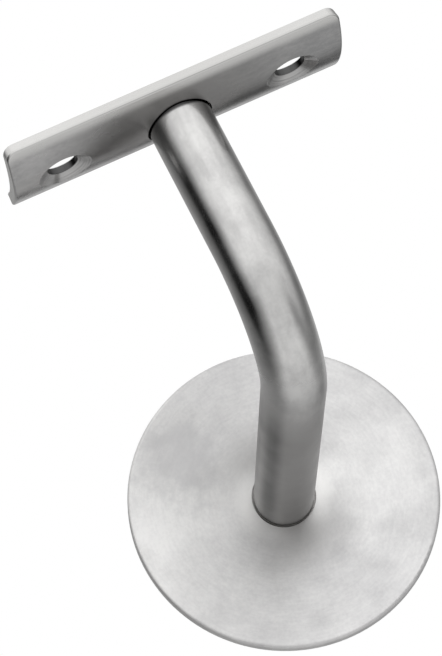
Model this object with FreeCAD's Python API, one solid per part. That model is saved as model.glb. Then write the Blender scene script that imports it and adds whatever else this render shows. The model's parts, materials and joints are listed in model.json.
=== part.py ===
import FreeCAD, Part
import math
import os

# Wall bracket for a round handrail: a bent round stem carries a curved saddle plate
# at its upper end and a flat wall disc at its lower end.
# The origin is where the stem's axis meets the wall. +X runs along the rail,
# +Z is up, and the bracket stands out from the wall towards -Y.
# All sizes are in millimetres.

vec = FreeCAD.Vector
origin = vec(0, 0, 0)
along_rail = vec(1, 0, 0)
into_wall = vec(0, 1, 0)
up = vec(0, 0, 1)

# Saddle plate, pressed to the curve of the rail
rail_diameter = 42.4
plate_thickness = 2.5
saddle_length = 65.0
saddle_width = 22.0
saddle_corner_radius = 2.0
underside_rim_round = 0.45
seat_rim_bevel = 0.25

# Countersunk holes for the screws that go up into the rail
screw_spacing = 45.0
screw_hole_diameter = 5.8
countersink_diameter = 10.4
countersink_depth = 1.4

# Bent stem, measured along its axis
stem_diameter = 12.0
bend_radius = 22.0
wall_to_upright = 87.5
stem_rise = 47.2

# M8 tapped hole in the stem's wall end
tap_drill_diameter = 6.8
tap_depth = 20.0
tap_mouth_diameter = 8.6
drill_point_angle = 118.0

# Wall disc
disc_diameter = 62.0
disc_thickness = 2.5
disc_front_round = 0.6
disc_back_chamfer = 0.3

# The stem stands in a clearance hole in each plate. A groove round each hole, on the
# face that the rail or the wall hides, is filled with weld and ground flush.
saddle_hole_diameter = 12.7
disc_hole_diameter = 12.8
weld_groove_diameter = 15.2
weld_groove_depth = 1.2

rail_radius = rail_diameter / 2
underside_radius = rail_radius + plate_thickness
rail_axis_height = stem_rise + underside_radius
half_arc = math.asin(saddle_width / 2 / underside_radius)
stem_radius = stem_diameter / 2
upright_foot = vec(0, -wall_to_upright, 0)
rail_centre = vec(0, -wall_to_upright, rail_axis_height)


def cylinder(diameter, length, base, direction):
    return Part.makeCylinder(diameter / 2, length, base, direction)


def cone(start_diameter, end_diameter, length, base, direction):
    return Part.makeCone(start_diameter / 2, end_diameter / 2, length, base, direction)


def rail_core():
    """The space that the rail fills, a little longer than the saddle."""
    length = saddle_length + 20
    start = rail_centre - along_rail * (length / 2)
    return cylinder(rail_diameter, length, start, along_rail)


def point_on_arc(radius, angle, x):
    """A point at an angle from straight down, seen along the rail."""
    offset = vec(0, radius * math.sin(angle), -radius * math.cos(angle))
    return vec(x, 0, 0) + rail_centre + offset


def curved_blank():
    """The saddle's cross-section, with radial long edges, run along the rail."""
    x = -saddle_length / 2
    underside = Part.Arc(
        point_on_arc(underside_radius, -half_arc, x),
        point_on_arc(underside_radius, 0, x),
        point_on_arc(underside_radius, half_arc, x),
    ).toShape()
    seat = Part.Arc(
        point_on_arc(rail_radius, half_arc, x),
        point_on_arc(rail_radius, 0, x),
        point_on_arc(rail_radius, -half_arc, x),
    ).toShape()
    wall_side = Part.makeLine(
        point_on_arc(underside_radius, half_arc, x),
        point_on_arc(rail_radius, half_arc, x),
    )
    room_side = Part.makeLine(
        point_on_arc(rail_radius, -half_arc, x),
        point_on_arc(underside_radius, -half_arc, x),
    )
    outline = Part.Wire([underside, wall_side, seat, room_side])
    return Part.Face(outline).extrude(along_rail * saddle_length)


def corner_edges(plate):
    """The four short radial edges at the plate's corners."""
    found = []
    for edge in plate.Edges:
        is_straight = isinstance(edge.Curve, Part.Line)
        if is_straight and abs(edge.Length - plate_thickness) < 0.01:
            found.append(edge)
    return found


def rim_edges(plate, radius):
    """The edges that run round the face at this distance from the rail's axis."""
    found = []
    for edge in plate.Edges:
        distances = [radial_distance(vertex.Point) for vertex in edge.Vertexes]
        if max(abs(distance - radius) for distance in distances) < 0.01:
            found.append(edge)
    return found


def radial_distance(point):
    across = point - rail_centre
    return math.hypot(across.y, across.z)


def screw_hole(x):
    """One through hole with its countersink opening downwards."""
    crown = vec(x, -wall_to_upright, stem_rise)
    below = crown - up
    shank = cylinder(screw_hole_diameter, plate_thickness + 2, below, up)
    slope = (countersink_diameter - screw_hole_diameter) / countersink_depth
    wide_diameter = countersink_diameter + slope
    sink = cone(wide_diameter, screw_hole_diameter, countersink_depth + 1, below, up)
    return shank.fuse(sink)


def saddle_weld_groove():
    """A round groove of even depth that follows the curved seat."""
    floor_diameter = rail_diameter + 2 * weld_groove_depth
    start = rail_centre - along_rail * (saddle_length / 2)
    reach = cylinder(floor_diameter, saddle_length, start, along_rail)
    crown = vec(0, -wall_to_upright, stem_rise)
    column = cylinder(weld_groove_diameter, saddle_width / 2, crown, up)
    return column.common(reach).cut(rail_core())


def make_saddle():
    plate = curved_blank()
    plate = plate.makeFillet(saddle_corner_radius, corner_edges(plate))
    plate = plate.makeFillet(underside_rim_round, rim_edges(plate, underside_radius))
    plate = plate.makeChamfer(seat_rim_bevel, rim_edges(plate, rail_radius))
    for side in (-1, 1):
        plate = plate.cut(screw_hole(side * screw_spacing / 2))
    bore = cylinder(saddle_hole_diameter, rail_axis_height, upright_foot, up)
    return plate.cut(bore).cut(saddle_weld_groove())


def stem_path():
    """From the wall outwards, round the bend, then straight up past the seat."""
    bend_start = vec(0, -wall_to_upright + bend_radius, 0)
    bend_end = vec(0, -wall_to_upright, bend_radius)
    lean = bend_radius * math.sin(math.radians(45))
    bend_middle = vec(0, bend_start.y - lean, bend_radius - lean)
    top = upright_foot + up * (stem_rise + plate_thickness + 3)
    level_leg = Part.makeLine(origin, bend_start)
    bend = Part.Arc(bend_start, bend_middle, bend_end).toShape()
    upright_leg = Part.makeLine(bend_end, top)
    return Part.Wire([level_leg, bend, upright_leg])


def tapped_hole():
    """Drilled core of the thread, with a conical end and a bevelled mouth."""
    out = -into_wall
    drill = cylinder(tap_drill_diameter, tap_depth, origin, out)
    half_angle = math.radians(drill_point_angle / 2)
    point_length = tap_drill_diameter / 2 / math.tan(half_angle)
    point = cone(tap_drill_diameter, 0, point_length, out * tap_depth, out)
    mouth_depth = (tap_mouth_diameter - tap_drill_diameter) / 2
    mouth = cone(tap_mouth_diameter, tap_drill_diameter, mouth_depth, origin, out)
    return drill.fuse([point, mouth])


def make_stem():
    """One bar, bent once, with its top cut flush with the rail's seat."""
    section = Part.Face(Part.Wire(Part.makeCircle(stem_radius, origin, into_wall)))
    bar = stem_path().makePipe(section)
    return bar.cut(rail_core()).cut(tapped_hole())


def disc_weld_groove():
    """A round recess in the disc's wall side."""
    return cylinder(weld_groove_diameter, weld_groove_depth, origin, -into_wall)


def make_disc():
    """Flat turned disc, rounded in front and lightly bevelled behind."""
    disc = cylinder(disc_diameter, disc_thickness, origin, -into_wall)
    front = [edge for edge in disc.Edges if abs(edge.CenterOfMass.y + disc_thickness) < 0.01]
    disc = disc.makeFillet(disc_front_round, front)
    back = [edge for edge in disc.Edges if abs(edge.CenterOfMass.y) < 0.01]
    disc = disc.makeChamfer(disc_back_chamfer, back)
    bore = cylinder(disc_hole_diameter, disc_thickness, origin, -into_wall)
    return disc.cut(bore).cut(disc_weld_groove())


def make_disc_weld():
    """Weld ring round the stem, flush with the disc's wall side."""
    stem_bar = cylinder(stem_diameter, wall_to_upright, origin, -into_wall)
    return disc_weld_groove().cut(stem_bar)


def make_saddle_weld():
    """Weld ring round the stem's top, flush with the curved seat."""
    stem_bar = cylinder(stem_diameter, rail_axis_height, upright_foot, up)
    return saddle_weld_groove().cut(stem_bar)


os.makedirs("parts", exist_ok=True)
pieces = {
    "rail_saddle": make_saddle(),
    "saddle_weld": make_saddle_weld(),
    "stem": make_stem(),
    "disc_weld": make_disc_weld(),
    "wall_disc": make_disc(),
}
for name, shape in pieces.items():
    solid = shape.removeSplitter().Solids[0]
    solid.exportStep(f"parts/{name}.step")
    print(name, "volume", round(solid.Volume, 1), "faces", len(solid.Faces))
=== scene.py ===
import bpy
import json
import math
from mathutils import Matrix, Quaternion, Vector


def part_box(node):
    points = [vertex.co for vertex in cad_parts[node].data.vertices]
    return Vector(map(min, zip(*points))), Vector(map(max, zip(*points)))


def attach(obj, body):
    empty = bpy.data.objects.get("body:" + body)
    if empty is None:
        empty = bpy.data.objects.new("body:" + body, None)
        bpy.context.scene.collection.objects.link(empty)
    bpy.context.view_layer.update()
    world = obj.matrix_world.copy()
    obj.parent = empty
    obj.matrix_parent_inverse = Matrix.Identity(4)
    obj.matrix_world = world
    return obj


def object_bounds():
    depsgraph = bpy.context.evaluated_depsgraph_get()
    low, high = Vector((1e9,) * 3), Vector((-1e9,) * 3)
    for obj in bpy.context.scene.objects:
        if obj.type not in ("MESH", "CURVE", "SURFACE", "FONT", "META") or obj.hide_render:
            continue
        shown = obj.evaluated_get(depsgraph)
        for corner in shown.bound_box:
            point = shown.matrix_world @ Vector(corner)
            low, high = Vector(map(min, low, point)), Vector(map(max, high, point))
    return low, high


mm = 0.001

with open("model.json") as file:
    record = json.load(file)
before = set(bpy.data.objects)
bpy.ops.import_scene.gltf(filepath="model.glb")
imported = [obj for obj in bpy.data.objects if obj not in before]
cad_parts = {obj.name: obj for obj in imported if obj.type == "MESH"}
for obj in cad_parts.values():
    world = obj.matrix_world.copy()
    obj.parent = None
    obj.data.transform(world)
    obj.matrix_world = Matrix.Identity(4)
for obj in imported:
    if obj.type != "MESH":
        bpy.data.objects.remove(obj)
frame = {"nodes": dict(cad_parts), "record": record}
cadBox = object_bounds()
nodes = frame["nodes"]
mounts = {mount["name"]: mount for mount in frame["record"]["mounts"]}
print("frame loaded:", ", ".join(sorted(nodes)))


# places read from the frame
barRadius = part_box("stem")[1].x
discLow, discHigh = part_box("wall_disc")
saddleLow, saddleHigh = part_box("rail_saddle")
seatPlace = Vector(mounts["rail_seat"]["pos_m"])
seatRadius = mounts["rail_seat"]["dims"]["r_mm"] * mm
undersideRadius = seatRadius + seatPlace.z - saddleLow.z
uprightY = seatPlace.y
railZ = seatPlace.z + seatRadius
screwX = mounts["rail_screws"]["dims"]["spacing_x_mm"] * mm / 2
bendRadius = 22 * mm


class Wire:
    # shader maths: a socket in a node tree; sums, products and the like add Math nodes
    def __init__(self, tree, socket=None):
        self.tree = tree
        self.socket = socket

    def node(self, kind, settings, inputs, out=0):
        made = self.tree.nodes.new(kind)
        for name, value in settings.items():
            if name == "stops":
                fillRamp(made.color_ramp, value)
            else:
                setattr(made, name, value)
        for name, value in inputs.items():
            if isinstance(value, Wire):
                self.tree.links.new(value.socket, made.inputs[name])
            else:
                made.inputs[name].default_value = value
        return Wire(self.tree, made.outputs[out] if made.outputs else None)

    def math(self, operation, first, second=0.0):
        return self.node("ShaderNodeMath", {"operation": operation}, {0: first, 1: second})

    def __add__(self, other):
        return self.math("ADD", self, other)

    def __radd__(self, other):
        return self.math("ADD", other, self)

    def __sub__(self, other):
        return self.math("SUBTRACT", self, other)

    def __rsub__(self, other):
        return self.math("SUBTRACT", other, self)

    def __mul__(self, other):
        return self.math("MULTIPLY", self, other)

    def __rmul__(self, other):
        return self.math("MULTIPLY", other, self)

    def __truediv__(self, other):
        return self.math("DIVIDE", self, other)

    def __pow__(self, other):
        return self.math("POWER", self, other)

    def atLeast(self, other):
        return self.math("MAXIMUM", self, other)

    def atMost(self, other):
        return self.math("MINIMUM", self, other)

    def size(self):
        return self.math("ABSOLUTE", self)

    def root(self):
        return self.math("SQRT", self)

    def turn(self, other):
        # angle in radians, 0 where this is 0 and the other is above 0
        return self.math("ARCTAN2", self, other)

    def rise(self, low, high):
        # 0 below low, 1 above high, smooth between; low may be the larger
        limits = {"From Min": low, "From Max": high, "To Min": 0.0, "To Max": 1.0}
        return self.node("ShaderNodeMapRange", {"interpolation_type": "SMOOTHSTEP"},
                         {"Value": self, **limits})

    def full(self):
        # noise keeps to about 0.3 to 0.7; this takes it to 0 and 1
        return self.rise(0.3, 0.7)

    def spread(self, low, high):
        # a 0 to 1 value as low to high
        return self * (high - low) + low


def fillRamp(ramp, stops):
    while len(ramp.elements) < len(stops):
        ramp.elements.new(0.5)
    for element, (place, colour) in zip(ramp.elements, stops):
        element.position = place
        element.color = (*colour, 1)


def split(vector):
    return [vector.node("ShaderNodeSeparateXYZ", {}, {"Vector": vector}, axis) for axis in range(3)]


def noise(x, y, z, detail=2.0, rough=0.5):
    # noise of about 0.3 to 0.7 at a place given by three values
    place = x.node("ShaderNodeCombineXYZ", {}, {"X": x, "Y": y, "Z": z})
    return place.node("ShaderNodeTexNoise", {}, {
        "Vector": place, "Scale": 1.0, "Detail": detail, "Roughness": rough})


def length(first, second):
    return (first * first + second * second).root()


viewpoint = {
    "aim": (-0.00298, -0.04404, 0.02334),
    "distance": 0.63017,
    "azimuth": -10.10,     # degrees to the side of straight ahead
    "elevation": -18.63,   # from below, as on a stair
    "roll": 27.49,
    "lens": 183.5,
    "sensor": 36,
}


def makeCamera():
    azimuth = math.radians(viewpoint["azimuth"])
    elevation = math.radians(viewpoint["elevation"])
    back = Vector((math.sin(azimuth) * math.cos(elevation),
                   -math.cos(azimuth) * math.cos(elevation),
                   math.sin(elevation)))
    lens = bpy.data.cameras.new("camera")
    lens.lens = viewpoint["lens"]
    lens.sensor_width = viewpoint["sensor"]
    lens.clip_start = 0.01
    lens.clip_end = 50
    camera = bpy.data.objects.new("camera", lens)
    camera.location = Vector(viewpoint["aim"]) + back * viewpoint["distance"]
    level = (-back).to_track_quat("-Z", "Y")
    roll = Quaternion((0, 0, 1), -math.radians(viewpoint["roll"]))
    camera.rotation_mode = "QUATERNION"
    camera.rotation_quaternion = level @ roll
    bpy.context.scene.collection.objects.link(camera)
    bpy.context.scene.camera = camera


studio = {
    "floorDrop": 1.4,          # below the bracket, and below a camera that looks up at it
    "floorSize": 20,
    "floorColour": (0.9, 0.9, 0.9),
    "floorRoughness": 0.9,
    "floorFade": (0.5, 3.0),   # metres from the middle, where the floor turns into the backdrop
    "plainLight": 0.85,        # on anything that isn't polished
    # brightness of the cards round the bracket, by degrees to the right of straight ahead
    "roundCards": ((-180, 0.45), (-140, 0.26), (-115, 0.12), (-103, 0.01), (-82, 0.01), (-67, 0.32),
                   (-50, 0.82), (-35, 1.0), (5, 1.06), (45, 1.0), (67, 0.88), (90, 0.57),
                   (105, 0.28), (120, 0.22), (145, 0.42), (180, 0.45)),
    # how much of it shows from straight down to straight up, in front and behind
    "frontCards": ((-1.0, 0.7), (-0.65, 0.76), (-0.32, 0.78), (-0.05, 1.0), (1.0, 1.0)),
    "frontReach": (0.0, -0.5),
    "backCards": ((-1.0, 0.9), (-0.45, 0.46), (-0.3, 0.3), (-0.1, 0.28), (0.0, 1.6), (0.16, 1.6),
                  (0.26, 1.0), (0.4, 0.95), (1.0, 1.5)),
    "backReach": (0.7, 0.9),
    "backRight": (-0.12, 0.06),     # the back cards stand to the right only
    # the ground's own brightness, by place from the front to the wall
    "groundCards": ((-1.0, 0.76), (0.0, 0.82), (0.2, 0.72), (0.5, 0.66), (1.0, 0.55)),
    "groundReach": (-0.25, -0.68),
    "groundSides": (0.45, 0.85),    # where it darkens to the left and right
    "groundShade": 0.62,
    "above": 1.04,
    "aboveReach": (0.5, 0.85),
    "topLamp": {"power": 0.6, "size": 1.2, "place": (0.1, -0.25, 1.5)},
    "frontLamp": {"power": 0.6, "size": 1.4, "place": (0.55, -1.7, 0.75)},
}


def cards(value, low, high, stops):
    # grey between a low and a high value, from a list of places and brightnesses
    ramp = [((place - low) / (high - low), (grey, grey, grey)) for place, grey in stops]
    across = value.node("ShaderNodeMapRange", {}, {"Value": value, "From Min": low, "From Max": high})
    return value.node("ShaderNodeValToRGB", {"stops": ramp}, {"Fac": across})


def makeWorld():
    world = bpy.data.worlds.new("studio")
    world.use_nodes = True
    tree = world.node_tree
    tree.nodes.clear()
    wire = Wire(tree)
    x, y, z = split(wire.node("ShaderNodeTexCoord", {}, {}, "Generated"))
    # what polished metal sees, by direction
    around = cards(x.turn(0 - y) * math.degrees(1), -180, 180, studio["roundCards"])
    back = cards(z, -1, 1, studio["backCards"])
    front = cards(z, -1, 1, studio["frontCards"])
    behind = y.rise(*studio["backReach"]) * x.rise(*studio["backRight"])
    picture = around * (1 + (front - 1) * y.rise(*studio["frontReach"])) * (1 + (back - 1) * behind)
    picture = picture + (studio["above"] - picture) * z.rise(*studio["aboveReach"])
    sides = x.size().rise(*studio["groundSides"])
    ground = cards(y, -1, 1, studio["groundCards"]) * (1 - sides * studio["groundShade"])
    picture = picture + (ground - picture) * z.rise(*studio["groundReach"])
    path = {name: wire.node("ShaderNodeLightPath", {}, {}, name)
            for name in ("Is Camera Ray", "Is Glossy Ray", "Is Transmission Ray")}
    colour = {"Color": (1, 1, 1, 1)}
    plain = wire.node("ShaderNodeBackground", {}, {**colour, "Strength": studio["plainLight"]})
    mirrored = wire.node("ShaderNodeBackground", {}, {**colour, "Strength": picture})
    white = wire.node("ShaderNodeBackground", {}, {**colour, "Strength": 1.0})
    lit = wire.node("ShaderNodeMixShader", {}, {0: path["Is Glossy Ray"], 1: plain, 2: mirrored})
    seen = path["Is Camera Ray"].atLeast(path["Is Transmission Ray"])
    shown = wire.node("ShaderNodeMixShader", {}, {0: seen, 1: lit, 2: white})
    wire.node("ShaderNodeOutputWorld", {}, {"Surface": shown})
    bpy.context.scene.world = world


def makeFloor():
    bpy.ops.object.select_all(action="DESELECT")
    drop = cadBox[0].z - studio["floorDrop"]
    bpy.ops.mesh.primitive_plane_add(size=studio["floorSize"], location=(0, 0, drop))
    floor = bpy.context.object
    floor.name = "floor"
    material = bpy.data.materials.new("floorPaint")
    material.use_nodes = True
    tree = material.node_tree
    tree.nodes.clear()
    wire = Wire(tree)
    x, y, z = split(wire.node("ShaderNodeTexCoord", {}, {}, "Object"))
    paint = wire.node("ShaderNodeBsdfPrincipled", {}, {
        "Base Color": (*studio["floorColour"], 1), "Roughness": studio["floorRoughness"]})
    backdrop = wire.node("ShaderNodeEmission", {}, {"Color": (1, 1, 1, 1), "Strength": 1.0})
    far = length(x, y).rise(*studio["floorFade"])
    seen = wire.node("ShaderNodeLightPath", {}, {}, "Is Camera Ray")
    shown = wire.node("ShaderNodeMixShader", {}, {0: far * seen, 1: paint, 2: backdrop})
    wire.node("ShaderNodeOutputMaterial", {}, {"Surface": shown})
    floor.data.materials.append(material)
    floor.visible_glossy = False     # the world's cards stand for it in the steel


def makeLamp(name):
    wanted = studio[name]
    data = bpy.data.lights.new(name, "AREA")
    data.shape = "DISK"
    data.size = wanted["size"]
    data.energy = wanted["power"]
    lamp = bpy.data.objects.new(name, data)
    lamp.location = wanted["place"]
    aim = (cadBox[0] + cadBox[1]) / 2 - lamp.location
    lamp.rotation_mode = "QUATERNION"
    lamp.rotation_quaternion = aim.to_track_quat("-Z", "Y")
    bpy.context.scene.collection.objects.link(lamp)


makeCamera()
makeWorld()
makeFloor()
makeLamp("topLamp")
makeLamp("frontLamp")
print("camera, studio and floor made")


gapShade = (0.03, 0.03, 0.03)     # painted shade in narrow gaps
gapShadeShare = 0.9
bumpDepth = 0.05 * mm


def newFinish(name):
    material = bpy.data.materials.new(name)
    material.use_nodes = True
    material.node_tree.nodes.clear()
    place = Wire(material.node_tree).node("ShaderNodeTexCoord", {}, {}, "Object")
    return material, split(place)


def metal(colour, roughness, height, strength):
    bumped = height.node("ShaderNodeBump", {}, {
        "Strength": strength, "Distance": bumpDepth, "Height": height})
    shader = height.node("ShaderNodeBsdfPrincipled", {}, {
        "Base Color": colour, "Metallic": 1.0, "Roughness": roughness, "Normal": bumped})
    height.node("ShaderNodeOutputMaterial", {}, {"Surface": shader})


def blend(amount, colour, over):
    # one colour at 0, the other at 1
    first, second = (side if isinstance(side, Wire) else (*side, 1) for side in (colour, over))
    return amount.node("ShaderNodeMix", {"data_type": "RGBA"}, {
        "Factor": amount, "A": first, "B": second}, 2)


def wear(x, y, z, scale):
    # soft clouds, of so many to a metre
    return noise(x * scale, y * scale, z * scale, 3.0, 0.55)


disc = {
    "dark": (0.58, 0.575, 0.58),
    "light": (0.85, 0.845, 0.835),
    "roughness": (0.28, 0.42),
    "edgeRoughness": 0.3,            # added on the outer edge
    "edgeReach": (discHigh.x - 0.8 * mm, discHigh.x - 0.3 * mm),
    "bump": 0.35,
    "grooves": 9000,                 # turned lines to a metre of radius
    "coarseGrooves": 1800,
    "clouds": 260,
    "grain": 1500,
    "smudges": (-55, 55, -70),       # noise to a metre each way
    "smudgeShift": 4.2,
    # how much each pattern lightens the metal
    "cloudShare": 0.16,
    "coarseShare": 0.14,
    "grainShare": 0.16,
    "smudgeShare": 0.22,
    "paintedFanShare": 0.32,
    "lean": -6,                      # painted light, a little brighter to the left, for each metre
    "darkByStem": (0.36, 0.355, 0.35),     # painted shade, the stem's dark reflection above and below the hole
    "darkByStemReach": (19 * mm, 8 * mm),
    "darkByStemShare": 0.75,
    "ring": (0.90, 0.895, 0.88),     # painted highlight beside the stem's hole
    "ringReach": (11 * mm, 7.5 * mm),
    "ringShare": 0.8,
    "shadedPatch": (-15 * mm, 15 * mm),  # painted shade, a darker patch to the upper left
    "shadedPatchReach": (11 * mm, 2 * mm),
    "shadedPatchRagged": 16 * mm,
    "shadedPatchShare": 0.6,
}


def discFinish():
    material, (x, y, z) = newFinish("turnedDisc")
    radius = length(x, z)
    away = radius.atLeast(0.5 * mm)
    right = x / away
    up = z / away
    lines = noise(radius * disc["grooves"], right * 3, up * 3, 3.0, 0.6)
    coarse = noise(radius * disc["coarseGrooves"], right * 9, up * 9, 2.0, 0.5)
    alongX, alongY, alongZ = disc["smudges"]
    smudges = noise(x * alongX + disc["smudgeShift"], y * alongY, z * alongZ, 3.0, 0.55)
    clouds = wear(x, y, z, disc["clouds"])
    grain = noise(x * disc["grain"], y * disc["grain"], z * disc["grain"], 2.0, 0.6)
    # painted highlight: the fans that turned metal shows to the left and right
    paintedFan = right ** 2
    shade = clouds.full() * disc["cloudShare"] + coarse.full() * disc["coarseShare"]
    shade = shade + grain.full() * disc["grainShare"]
    shade = shade + smudges.rise(0.3, 0.66) * disc["smudgeShare"]
    shade = shade + paintedFan * disc["paintedFanShare"] + x * disc["lean"]
    # painted shade: a darker patch to the upper left
    spotX, spotZ = disc["shadedPatch"]
    toSpot = length(x - spotX, z - spotZ) + (clouds - 0.5) * disc["shadedPatchRagged"]
    amount = shade * (1 - toSpot.rise(*disc["shadedPatchReach"]) * disc["shadedPatchShare"])
    colour = blend(amount, disc["dark"], disc["light"])
    # painted shade: the stem's dark reflection above and below the hole
    darkByStem = radius.rise(*disc["darkByStemReach"]) * (1 - paintedFan)
    colour = blend(darkByStem * disc["darkByStemShare"], colour, disc["darkByStem"])
    # painted highlight beside the hole, to the left and right
    ring = radius.rise(*disc["ringReach"]) * paintedFan
    colour = blend(ring * disc["ringShare"], colour, disc["ring"])
    height = lines * 0.6 + coarse * 0.2 + grain * 0.2
    edge = radius.rise(*disc["edgeReach"])
    roughness = smudges.rise(0.65, 0.35).spread(*disc["roughness"]) + edge * disc["edgeRoughness"]
    metal(colour, roughness, height, disc["bump"])
    return material


stem = {
    "dark": (0.56, 0.555, 0.55),
    "light": (0.72, 0.715, 0.705),
    "roughness": (0.15, 0.22),
    "dullRoughness": 0.24,           # added on the level leg and on the top end
    "dullReach": (uprightY + 4 * mm, uprightY + 22 * mm),
    "bump": 0.22,
    "grooves": 7000,                 # polishing lines to a metre of length
    "streaks": 120,
    "clouds": 160,
    "grain": 1800,
    "legShade": (0.315, 0.31, 0.305),    # painted shade: the level leg by the wall is darker
    "legShadeReach": (uprightY + 10 * mm, uprightY + 38 * mm),
    "legShadeShare": 0.95,
    "paintedBand": -62,                    # painted shade, a dark band along the leg, degrees round from the leg's underside
    "paintedBandReach": (0.5, 0.05),
    "paintedBandShade": (0.07, 0.07, 0.07),
    "paintedBandShare": 0.74,
    "paintedGlint": (0.88, 0.875, 0.87),      # painted highlight, a bright bar just inside the disc's hole
    "skin": (barRadius - 0.2 * mm, barRadius - 0.05 * mm),
}


def stemFinish():
    material, (x, y, z) = newFinish("polishedStem")
    # distance along the bar: straight leg, bend, straight leg
    outward = (uprightY + bendRadius) - y
    below = bendRadius - z
    angle = outward.atLeast(0).turn(below.atLeast(0.000001))
    along = outward.atMost(0) + angle * bendRadius + (0 - below).atLeast(0)
    lines = noise(along * stem["grooves"], x * 900, (y + z) * 300, 3.0, 0.6)
    streaks = noise(along * stem["streaks"], x * 900, (y - z) * 250, 2.0, 0.5)
    clouds = wear(x, y, z, stem["clouds"])
    grain = noise(x * stem["grain"], y * stem["grain"], z * stem["grain"], 2.0, 0.6)
    height = lines * 0.5 + streaks * 0.4 + grain * 0.1
    amount = (clouds * 0.6 + streaks * 0.25 + grain * 0.15).rise(0.32, 0.68)
    colour = blend(amount, stem["dark"], stem["light"])
    # painted shade on the level leg by the wall
    nearWall = y.rise(*stem["legShadeReach"]) * stem["legShadeShare"]
    colour = blend(nearWall, colour, stem["legShade"])
    # painted shade: a dark band along the level leg
    fromPaintedBand = (x.turn(0 - z) - math.radians(stem["paintedBand"])).size()
    paintedBand = fromPaintedBand.rise(*stem["paintedBandReach"]) * nearWall
    colour = blend(paintedBand * stem["paintedBandShare"], colour, stem["paintedBandShade"])
    front = discLow.y
    # painted highlight: a bright bar on the bar just inside the disc's hole
    paintedGlint = y.rise(front - 0.05 * mm, front + 0.1 * mm) * y.rise(front + 0.7 * mm, front + 0.5 * mm)
    colour = blend(paintedGlint * 0.9, colour, stem["paintedGlint"])
    # painted shade inside the two clearance holes, on the bar's skin
    underside = saddleLow.z
    inSaddle = z.rise(underside - 0.2 * mm, underside + 0.4 * mm)
    inSaddle = inSaddle * length(x, y - uprightY).rise(*stem["skin"])
    inDisc = y.rise(front + 1.0 * mm, front + 1.6 * mm) * length(x, z).rise(*stem["skin"])
    colour = blend(inSaddle.atLeast(inDisc) * gapShadeShare, colour, gapShade)
    topEnd = z.rise(underside + 1.6 * mm, underside + 2.0 * mm)
    dulled = y.rise(*stem["dullReach"]).atLeast(topEnd) * stem["dullRoughness"]
    metal(colour, clouds.full().spread(*stem["roughness"]) + dulled, height, stem["bump"])
    return material


saddle = {
    "dark": (0.34, 0.34, 0.34),
    "light": (0.52, 0.515, 0.51),
    "roughness": (0.19, 0.28),
    "pressed": 0.3,                   # rougher by this on the seat
    "bump": 0.35,
    "grooves": 6000,                  # brushed lines to a metre across
    "coarseGrooves": 900,
    "clouds": 130,
    "grain": (900, 1500),             # to a metre along and across
    "lean": -8,                       # painted light, a little brighter to the left, for each metre
    "darkByStem": (0.22, 0.215, 0.21),      # heat tint left by the weld, with painted shade, round the stem
    "darkByStemReach": (30 * mm, 6 * mm),
    "darkByStemShare": 0.8,
    "cut": (0.68, 0.675, 0.66),       # painted highlight on the long edges and ends
    "cutReach": (9.4 * mm, 9.7 * mm),
    "cutShare": 0.75,
    "rimHighlightReach": (8.4 * mm, 10.3 * mm),
    "rimHighlightShare": 0.9,
    "cone": (0.5, 0.495, 0.49),       # turned rings in the countersinks
    "coneReach": (5.5 * mm, 5.2 * mm),
    "coneRings": 3600,
    "boreShade": (0.10, 0.10, 0.10),    # painted shade inside the screw holes
    "boreShadeReach": (3.0 * mm, 2.93 * mm),
    "gapReach": (barRadius + 0.6 * mm, barRadius + 0.38 * mm),
}


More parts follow.
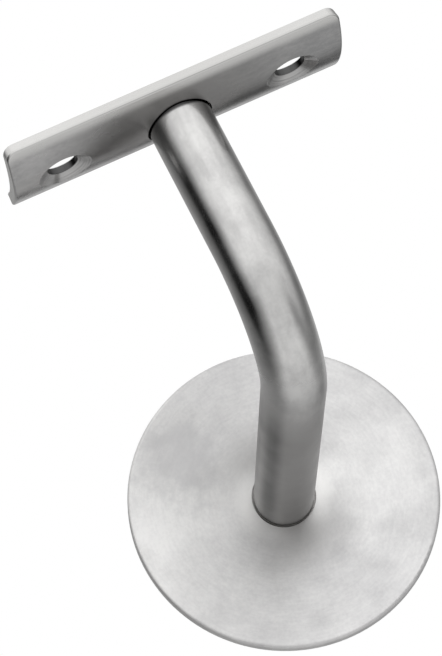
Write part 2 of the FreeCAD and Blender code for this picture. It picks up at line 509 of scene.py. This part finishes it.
def saddleFinish():
    material, (x, y, z) = newFinish("brushedSaddle")
    across = y - uprightY
    down = railZ - z
    reach = length(across, down)
    turn = across.turn(down) * undersideRadius
    lines = noise(x * 60, turn * saddle["grooves"], reach * saddle["grooves"], 3.0, 0.6)
    coarse = noise(x * 160, turn * saddle["coarseGrooves"], reach * saddle["coarseGrooves"], 2.0, 0.5)
    clouds = wear(x, y, z, saddle["clouds"])
    grainAlong, grainAcross = saddle["grain"]
    grain = noise(x * grainAlong, turn * grainAcross, reach * grainAcross, 2.0, 0.6)
    brushed = lines * 0.5 + coarse * 0.2 + grain * 0.3
    # three masks by distance from the rail's axis: underside, between the faces, seat
    underside = reach.rise(undersideRadius - 0.1 * mm, undersideRadius - 0.02 * mm)
    between = reach.rise(undersideRadius - 0.02 * mm, undersideRadius - 0.1 * mm)
    between = between * reach.rise(seatRadius + 0.03 * mm, seatRadius + 0.12 * mm)
    seat = reach.rise(seatRadius + 0.1 * mm, seatRadius + 0.03 * mm)
    # turned rings inside the countersinks
    offset = x.size() - screwX
    fromHole = length(offset, across)
    sunk = fromHole.rise(*saddle["coneReach"]) * between
    rings = noise(fromHole * saddle["coneRings"], offset * 150, across * 150, 2.0, 0.6)
    height = brushed + (rings * 0.5 - brushed) * sunk
    # painted light: a little brighter to the left
    amount = clouds.full() * 0.5 + coarse.full() * 0.2 + grain.full() * 0.3 + x * saddle["lean"]
    colour = blend(amount, saddle["dark"], saddle["light"])
    fromStem = length(x, across)
    # heat tint and painted shade round the stem
    colour = blend(fromStem.rise(*saddle["darkByStemReach"]) * saddle["darkByStemShare"], colour, saddle["darkByStem"])
    # painted highlight: the long edges and ends are painted bright, and so is the underside beside
    # them
    rimHighlight = across.size().rise(*saddle["rimHighlightReach"]) * underside * saddle["rimHighlightShare"]
    ends = x.size().rise(saddleHigh.x - 0.2 * mm, saddleHigh.x)
    cut = across.size().rise(*saddle["cutReach"]).atLeast(ends) * between * saddle["cutShare"]
    colour = blend(rimHighlight.atLeast(cut), colour, saddle["cut"])
    colour = blend(sunk * rings.rise(0.28, 0.7), colour, saddle["cone"])
    # painted shade inside the screw holes
    colour = blend(sunk * fromHole.rise(*saddle["boreShadeReach"]), colour, saddle["boreShade"])
    # painted shade in the gap round the stem
    gap = fromStem.rise(*saddle["gapReach"]) * between
    colour = blend(gap * gapShadeShare, colour, gapShade)
    # the seat is left as pressed
    roughness = clouds.full().spread(*saddle["roughness"]) + seat * saddle["pressed"]
    metal(colour, roughness, height, saddle["bump"])
    return material


thread = {
    "pitch": 1.25 * mm,             # M8
    "root": 3.42 * mm,              # just inside the stem's metal
    "crest": 3.2 * mm,
    "width": 1.9,                   # of the ridge, to its height
    "turns": 15,
    "start": 0.9 * mm,              # from the wall's plane
    "steps": 40,
    "dark": (0.30, 0.295, 0.29),
    "light": (0.58, 0.575, 0.565),
    "roughness": (0.25, 0.4),
    "bump": 0.2,
    "clouds": 500,
}


def makeThread():
    # one ridge wound round the drilled hole in the stem's wall end
    depth = thread["root"] - thread["crest"]
    bpy.ops.object.select_all(action="DESELECT")
    bpy.ops.mesh.primitive_circle_add(vertices=4, radius=depth, fill_type="NOTHING")
    piece = bpy.context.object
    piece.name = "stemThread"
    bpy.ops.object.mode_set(mode="EDIT")
    bpy.ops.mesh.select_all(action="SELECT")
    bpy.ops.transform.resize(value=(1, thread["width"], 1), center_override=(0, 0, 0))
    bpy.ops.transform.translate(value=(thread["root"], -thread["start"], 0))
    bpy.ops.object.mode_set(mode="OBJECT")
    wind = piece.modifiers.new("wind", "SCREW")
    wind.axis = "Y"
    wind.angle = math.radians(360)
    wind.screw_offset = -thread["pitch"]
    wind.iterations = thread["turns"]
    wind.steps = thread["steps"]
    wind.render_steps = thread["steps"]
    wind.use_smooth_shade = False
    bpy.ops.object.modifier_apply(modifier="wind")
    # close both ends
    bpy.ops.object.mode_set(mode="EDIT")
    bpy.ops.mesh.select_all(action="SELECT")
    bpy.ops.mesh.remove_doubles(threshold=0.000001)
    bpy.ops.mesh.select_all(action="DESELECT")
    bpy.ops.mesh.select_non_manifold()
    bpy.ops.mesh.fill_holes(sides=0)
    bpy.ops.mesh.select_all(action="SELECT")
    bpy.ops.mesh.normals_make_consistent(inside=False)
    bpy.ops.object.mode_set(mode="OBJECT")
    bpy.ops.object.transform_apply(location=True, rotation=True, scale=True)
    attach(piece, "root")
    return piece


def threadFinish():
    material, (x, y, z) = newFinish("cutThread")
    clouds = wear(x, y, z, thread["clouds"])
    colour = blend(clouds.full(), thread["dark"], thread["light"])
    metal(colour, clouds.full().spread(*thread["roughness"]), clouds, thread["bump"])
    return material


weld = {
    "dark": (0.42, 0.41, 0.40),
    "light": (0.62, 0.61, 0.60),
    "roughness": (0.34, 0.5),
    "bump": 0.4,
    "scratches": (3000, 600, 600),    # to a metre each way
    "clouds": 400,
}


def weldFinish():
    material, (x, y, z) = newFinish("groundWeld")
    alongX, alongY, alongZ = weld["scratches"]
    scratches = noise(x * alongX, y * alongY, z * alongZ, 3.0, 0.6)
    clouds = wear(x, y, z, weld["clouds"])
    colour = blend(clouds.full(), weld["dark"], weld["light"])
    metal(colour, clouds.full().spread(*weld["roughness"]), scratches, weld["bump"])
    return material


def dress(name, material):
    slots = nodes[name].data.materials
    slots.clear()
    slots.append(material)


dress("wall_disc", discFinish())
dress("stem", stemFinish())
dress("rail_saddle", saddleFinish())
groundWeld = weldFinish()
dress("saddle_weld", groundWeld)
dress("disc_weld", groundWeld)
stemThread = makeThread()
stemThread.data.materials.append(threadFinish())
print("thread wound and steel finishes made")


# last settings
bpy.context.scene.view_settings.view_transform = "Standard"
